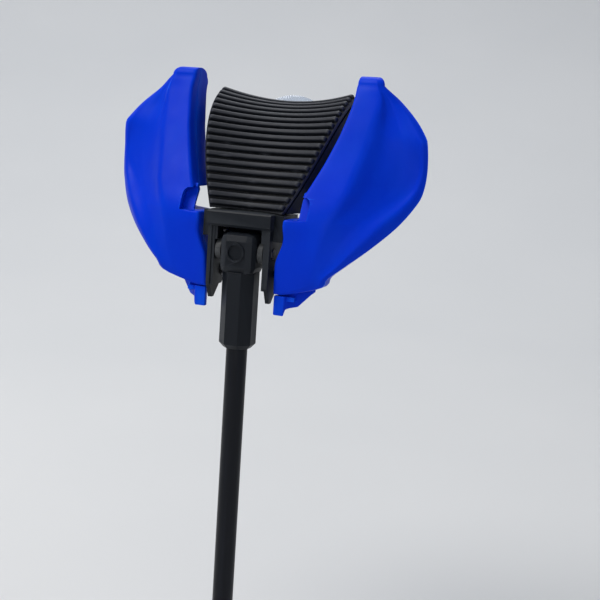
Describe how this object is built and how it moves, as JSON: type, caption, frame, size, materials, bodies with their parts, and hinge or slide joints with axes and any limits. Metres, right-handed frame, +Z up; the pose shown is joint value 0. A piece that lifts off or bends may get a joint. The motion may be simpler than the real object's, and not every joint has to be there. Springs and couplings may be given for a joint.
{
  "type": "pole cleaning head",
  "caption": "Tilting cleaning head with a curved ribbed pad between two float wings, on a moulded stem and a thin straight pole.",
  "frame": {"origin": "centre of the flat lower end face of the pole's ferrule", "axes": "+Z up along the pole towards the head, +X to the head's right seen from its ribbed front, -Y towards the ribbed front"},
  "size_m": [0.125, 0.0519, 0.2402],
  "materials": {
    "blue_plastic": "semi-gloss moulded",
    "black_plastic": "satin moulded",
    "ribbed_pad": "satin",
    "rod_black": "satin",
    "grey_plastic": "satin",
    "dark_steel": "dark passivated",
    "white_foam": "closed-cell foam",
    "clear_vinyl": "clear soft vinyl"
  },
  "bodies": {
    "pole": {"pole_rod": "rod_black", "pole_ferrule": "grey_plastic", "ferrule_collar": "black_plastic", "rod_pin": "dark_steel", "stem_socket": "black_plastic"},
    "head": {"clevis_frame": "black_plastic", "pivot_pin": "dark_steel", "pivot_bush_left": "grey_plastic", "pivot_bush_right": "grey_plastic", "rib_pad": "ribbed_pad", "pad_carrier": "black_plastic", "suction_cup": "clear_vinyl", "cup_stud": "grey_plastic", "wing_front_left": "blue_plastic", "wing_front_right": "blue_plastic", "wing_rear_left": "blue_plastic", "wing_rear_right": "blue_plastic", "wing_float_left": "white_foam", "wing_float_right": "white_foam", "wing_screw_left_lower": "dark_steel", "wing_screw_left_upper": "dark_steel", "wing_screw_right_lower": "dark_steel", "wing_screw_right_upper": "dark_steel", "deck_screw_left": "dark_steel", "deck_screw_right": "dark_steel"}
  },
  "joints": [
    {"name": "head_tilt", "type": "hinge", "parent": "pole", "child": "head", "pos_m": [0, 0, 0.1735], "axis": [1, 0, 0], "range_deg": [-42, 60]}
  ]
}
